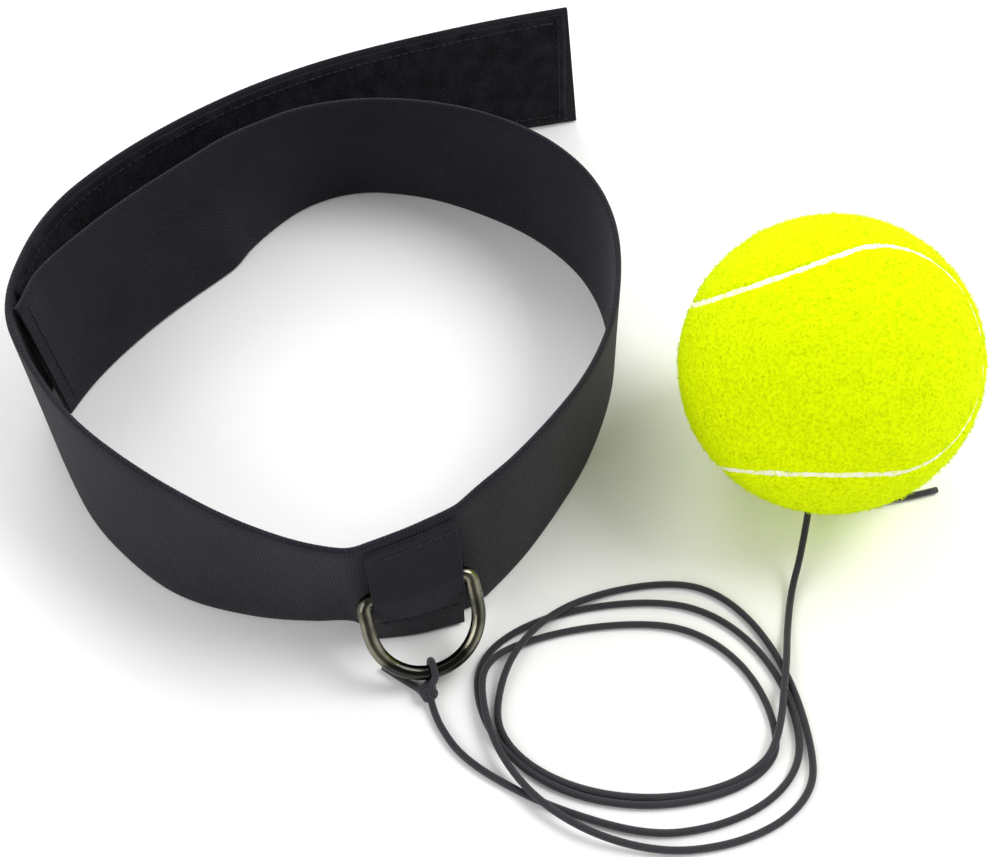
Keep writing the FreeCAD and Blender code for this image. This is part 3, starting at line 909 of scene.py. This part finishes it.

# Routes of the cord, along the CAD's cord; heights are counted from the resting cord.
LEAD_ROUTE = [
    (-0.0099, -0.0968, 0.0009),
    (-0.0091, -0.0998, 0.0),
    (-0.0069, -0.1044, 0.0),
    (-0.0032, -0.1094, 0.0),
    (0.0037, -0.1144, 0.0),
    (0.0155, -0.1204, 0.0),
]
BALL_ROUTE = [
    (0.0642, -0.0886, HUMP),
    (0.0656, -0.0802, 0.0),
    (0.0678, -0.0698, 0.0),
    (0.0701, -0.0631, 0.0043),
]
BALL_TAIL_ROUTE = [(0.0892, -0.0470, 0.0), (0.1050, -0.0420, 0.0)]
# Where the coil's turns reach furthest: near side, right, far side, left, and round again.
COIL_EXTREMES = [
    (0.0330, -0.1255),
    (0.0655, -0.1050),
    (0.0390, -0.0730),
    (-0.0009, -0.0928),
    (0.0312, -0.1197),
    (0.0608, -0.1050),
    (0.0370, -0.0785),
    (0.0001, -0.0936),
    (0.0360, -0.1288),
    (0.0676, -0.1100),
    (0.0432, -0.0680),
    (0.0034, -0.0996),
    (0.0330, -0.1181),
    (0.0625, -0.1010),
]
POINTS_PER_QUARTER = 4
# Coil points that are lifted over an earlier turn, either side of each crossing.
COIL_HUMPS = (27, 28, 29, 30, 31, 42, 43, 51, 52)


def lift(route):
    """A cord route's points at their real heights."""
    return [Vector((x, y, z + CORD_REST)) for x, y, z in route]


def coil_points():
    """The coil's turns as quarter ovals from one furthest point to the next."""
    points = []
    for i, ((ax, ay), (bx, by)) in enumerate(zip(COIL_EXTREMES, COIL_EXTREMES[1:])):
        for k in range(POINTS_PER_QUARTER):
            turn = math.pi / 2 * k / POINTS_PER_QUARTER
            if i % 2 == 0:
                place = (ax + (bx - ax) * math.sin(turn), by + (ay - by) * math.cos(turn))
            else:
                place = (bx + (ax - bx) * math.cos(turn), ay + (by - ay) * math.sin(turn))
            height = HUMP if len(points) in COIL_HUMPS else 0.0
            points.append((*place, height))
    return points


def cord_tube(name, line):
    """The cord's braided surface along a line."""
    shape = Shape()
    shape.tube(line, [CORD_RADIUS] * len(line), CORD_SIDES)
    return shape.make(name, CORD)


def make_cord():
    """The elastic cord from the ring's knot, through its loose coil, into the ball."""
    entry = BALL_CENTRE + ENTRY_WAY * (BALL_RADIUS - CORD_DIP)
    route = lift(LEAD_ROUTE + coil_points() + BALL_ROUTE) + [entry]
    line = spline_line(route)
    cord = cord_tube("elastic_cord", line)
    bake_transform(cord)
    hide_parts("cord_lead", "cord_coil", "ball_lead")


# Felt and core wall of the ball, and the room between the cord's bends and that wall.
FELT_THICK = 0.0025
CORE_WALL = 0.0033
INNER_SLACK = 0.006


def make_ball_cord():
    """The cord's last length: through the ball and out to its cut end beside it."""
    inner = BALL_RADIUS - FELT_THICK - CORE_WALL - INNER_SLACK
    route = [
        BALL_CENTRE + ENTRY_WAY * BALL_RADIUS,
        BALL_CENTRE + ENTRY_WAY * inner,
        BALL_CENTRE + EXIT_WAY * inner,
        BALL_CENTRE + EXIT_WAY * (BALL_RADIUS + CORD_DIP),
    ]
    line = spline_line(route + lift(BALL_TAIL_ROUTE))
    cord = cord_tube("ball_cord_end", line)
    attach(cord, "ball")
    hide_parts("ball_cord")
    core = cut_core("ball_cord_core", line[-1], line[-1] - line[-2])
    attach(core, "ball")


def cut_core(name, end, way):
    """Small bundle of white rubber strands that shows in a cut end."""
    way = way.normalized()
    side = way.orthogonal().normalized()
    across = way.cross(side)
    shape = Shape()
    for k in range(5):
        angle = 2 * math.pi * k / 5
        root = end + (side * math.cos(angle) + across * math.sin(angle)) * CORD_RADIUS * 0.38
        path = [root - way * 0.0006, root + way * 0.00005, root + way * 0.0001]
        shape.tube(path, (0.0002, 0.0002, 0.0001), 6)
    return shape.make(name, CORD_CORE)


KNOT_MIDDLE = Vector((-0.0102, -0.0957, 0.0017))
# The cord's wraps round itself: their line, how many, where they begin along it and how far they
# go, and their radius to the middle of the cord, less high than wide.
WRAP_AXIS = Vector((0.35, -0.93, 0.0)).normalized()
WRAP_TURNS = 2
WRAP_STEPS = 10
WRAP_START = -0.0010
WRAP_REACH = 0.0026
WRAP_RADIUS = 0.00105
WRAP_FLATNESS = 0.85
# The cut end, from where it leaves the knot to where it lies on the floor.
KNOT_TAIL_ROUTE = [
    (-0.0113, -0.0966, 0.0022),
    (-0.0122, -0.0951, 0.0012),
    (-0.0155, -0.0929, CORD_REST),
    (-0.0199, -0.0899, CORD_REST),
]


def make_ring_knot():
    """Knot on the ring: the cord goes over the wire, round it, and twice round itself."""
    around = LOOP_FROM_APEX
    bow_radius = RING_WIDTH / 2
    bow_middle = bow_radius - RING_DEPTH
    local = Vector((bow_radius * math.sin(around), 0.0, bow_middle - bow_radius * math.cos(around)))
    tab_middle, tab_heading = strap_at(TAB_STATION)
    bar = tab_middle + heading_vector(tab_heading + 90) * BAR_OFFSET + UP * BAR_HEIGHT
    wire = bar + RING_TURN @ local
    along = RING_TURN @ Vector((math.cos(around), 0.0, math.sin(around)))
    knot = KNOT_MIDDLE
    toward = knot - wire
    toward = (toward - along * toward.dot(along)).normalized()
    over = along.cross(toward).normalized()
    if over.z < 0:
        over = -over
    loop_radius = RING_WIRE + CORD_RADIUS + 0.00005
    route = [knot + over * 0.0004]
    for degrees in range(60, 301, 20):
        angle = math.radians(degrees)
        route.append(wire + (toward * math.cos(angle) + over * math.sin(angle)) * loop_radius)
    route.append(knot - toward * 0.0012 - over * 0.0004)
    side = WRAP_AXIS.cross(UP).normalized()
    wrap_points = WRAP_TURNS * WRAP_STEPS
    for k in range(wrap_points + 1):
        angle = 2 * math.pi * k / WRAP_STEPS
        middle = knot + WRAP_AXIS * (WRAP_START + WRAP_REACH * k / wrap_points)
        route.append(middle + (side * math.cos(angle) + UP * math.sin(angle) * WRAP_FLATNESS) * WRAP_RADIUS)
    route += [Vector(point) for point in KNOT_TAIL_ROUTE]
    line = spline_line(route)
    tied = cord_tube("ring_knot_cord", line)
    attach(tied, "ring")
    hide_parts("ring_knot", "knot_tail")
    core = cut_core("ring_knot_core", line[-1], line[-1] - line[-2])
    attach(core, "ring")


# ---------------------------------------------------------------- ball

SEAM_HALF = 0.0005
# How far the seam's bead reaches under the felt, and the band where the net is made finer.
SEAM_UNDER = 0.0008
FINE_BAND = 0.0029
# The felt's rolled edge, and its dimple where the cord goes through.
ROLL_WIDTH = 0.0011
ROLL_DEPTH = 0.0006
DIMPLE_DEPTH = 0.0008
DIMPLE_REACH = 0.0017
FIBRE_COUNT = 9000


def seam_side(way):
    """Distance from the felt seam along the ball, plus on panel a and minus on panel b."""
    arcs = UPPER_ARCS if way.z >= 0 else LOWER_ARCS
    latitude = math.radians(SEAM_ARC_LATITUDE if way.z >= 0 else -SEAM_ARC_LATITUDE)
    half_angle = math.acos(math.sqrt(0.5) * math.cos(latitude))
    gaps = []
    for longitude in arcs:
        across = math.radians(longitude)
        middle = Vector((
            math.cos(across) * math.cos(latitude),
            math.sin(across) * math.cos(latitude),
            math.sin(latitude),
        ))
        gaps.append(math.acos(max(-1.0, min(1.0, way.dot(middle)))) - half_angle)
    nearest = min(gaps)
    return nearest * BALL_RADIUS if way.z >= 0 else -nearest * BALL_RADIUS


def seam_reach(way):
    """Half width of the bare seam, over which the felt's edges wander."""
    return SEAM_HALF * (1.0 + 0.45 * noise.noise(way * 14.0) + 0.35 * noise.noise(way * 47.0))


def felt_radius(way, side):
    """The felt's surface: matted, rolled down beside the seam, and drawn in at the cord."""
    lumps = 0.00018 * noise.noise(way * 9.0) + 0.00010 * noise.noise(way * 34.0)
    edge = min(1.0, max(0.0, (abs(side) - seam_reach(way)) / ROLL_WIDTH))
    rolled = ROLL_DEPTH * (1 - math.sqrt(1 - (1 - edge) ** 2))
    pull = 0.0
    for hole in (LOCAL_ENTRY, LOCAL_EXIT):
        away = (way - hole).length * BALL_RADIUS
        pull += DIMPLE_DEPTH * math.exp(-((away / DIMPLE_REACH) ** 2))
    return BALL_RADIUS - 0.0001 + lumps - rolled - pull


def seam_radius(way):
    """The bead's uneven surface, a little below the felt's."""
    return BALL_RADIUS - 0.00045 + 0.00015 * noise.noise(way * 45.0)


def ball_net():
    """Ways and triangles of a fine even net round the ball, finer along the seam."""
    net = bmesh.new()
    bmesh.ops.create_icosphere(net, subdivisions=6, radius=1.0)
    near = [
        edge for edge in net.edges
        if all(abs(seam_side(corner.co.normalized())) < FINE_BAND for corner in edge.verts)
    ]
    bmesh.ops.subdivide_edges(net, edges=near, cuts=1)
    bmesh.ops.triangulate(net, faces=net.faces[:])
    ways = [corner.co.normalized() for corner in net.verts]
    faces = [[corner.index for corner in face.verts] for face in net.faces]
    net.free()
    return ways, faces


def cut_net(ways, faces, values):
    """The part of the net where the values are above zero, cut exactly along the zero line."""
    kept_ways = []
    kept_faces = []
    number = {}

    def keep(key, way):
        if key not in number:
            number[key] = len(kept_ways)
            kept_ways.append(way)
        return number[key]

    for face in faces:
        corners = []
        for a, b in zip(face, face[1:] + face[:1]):
            if values[a] > 0:
                corners.append(keep((a, a), ways[a]))
            if (values[a] > 0) != (values[b] > 0):
                low, high = min(a, b), max(a, b)
                share = values[low] / (values[low] - values[high])
                way = ways[low].lerp(ways[high], share).normalized()
                corners.append(keep((low, high), way))
        if len(corners) > 2:
            kept_faces.append(corners)
    return kept_ways, kept_faces


def ball_piece(name, ways, faces, radius_of, material, slot, *nodes):
    """A surface round the ball, at the radius that radius_of gives for each way from its middle."""
    points = [BALL_CENTRE + BALL_TURN @ (way * radius_of(way)) for way in ways]
    piece = add_mesh(name, points, faces, material)
    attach(piece, "ball")
    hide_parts(*nodes)


def make_fuzz():
    """Loose fibres that stand out of the felt."""
    chance = random.Random(5)
    shape = Shape()
    made = 0
    while made < FIBRE_COUNT:
        way = Vector([chance.gauss(0, 1) for _ in range(3)]).normalized()
        side = seam_side(way)
        if abs(side) < seam_reach(way) + 0.0001:
            continue
        made += 1
        outward = BALL_TURN @ way
        root = BALL_CENTRE + outward * (felt_radius(way, side) - 0.0001)
        sweep = Vector([chance.uniform(-1, 1) for _ in range(3)])
        sweep = (sweep - outward * sweep.dot(outward)) * 0.0009
        rise = outward * chance.uniform(0.00015, 0.0006)
        path = [root, root + rise + sweep * 0.35, root + rise * 1.2 + sweep]
        shape.tube(path, (0.00007, 0.00006, 0.00002), 3)
    fuzz = shape.make("felt_fuzz", FUZZ)
    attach(fuzz, "ball")


def make_ball():
    """Two felt panels cut from one net along the seam, the seam's bead under their edges, and fuzz."""
    ways, faces = ball_net()
    sides = [seam_side(way) for way in ways]
    reaches = [seam_reach(way) for way in ways]
    panels = (
        ("felt_cover_a", "felt_panel_a", [side - bare for side, bare in zip(sides, reaches)]),
        ("felt_cover_b", "felt_panel_b", [-side - bare for side, bare in zip(sides, reaches)]),
    )
    for name, node, values in panels:
        panel_ways, panel_faces = cut_net(ways, faces, values)
        ball_piece(name, panel_ways, panel_faces, lambda way: felt_radius(way, seam_side(way)),
                   FELT, "ball_felt", node)
    band = [SEAM_HALF + SEAM_UNDER - abs(side) for side in sides]
    seam_ways, seam_faces = cut_net(ways, faces, band)
    ball_piece("seam_bead", seam_ways, seam_faces, seam_radius, SEAM, "seam_rubber", "felt_seam")
    make_fuzz()


# ---------------------------------------------------------------- CAD parts that stay

def dress_cad_parts():
    """Materials of the CAD nodes that show as they are."""
    for node, material in (("d_ring", RING), ("core_cup_lower", RUBBER), ("core_cup_upper", RUBBER)):
        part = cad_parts[node]
        for held in part.material_slots:
            held.material = material


def make_floor():
    """A wide sheet of pale paper just under the object."""
    reach = 3.0
    corners = [(-reach, -reach, 0.0), (reach, -reach, 0.0), (reach, reach, 0.0), (-reach, reach, 0.0)]
    floor = add_mesh("studio_floor", corners, [(0, 1, 2, 3)], FLOOR)
    floor.location.z = -0.0001


make_camera()
make_lights()
make_floor()
make_cord()
make_ball_cord()
make_ring_knot()
make_strap()
make_hook_tape()
make_loop_panel()
make_stitching()
make_tab()
make_ball()
dress_cad_parts()
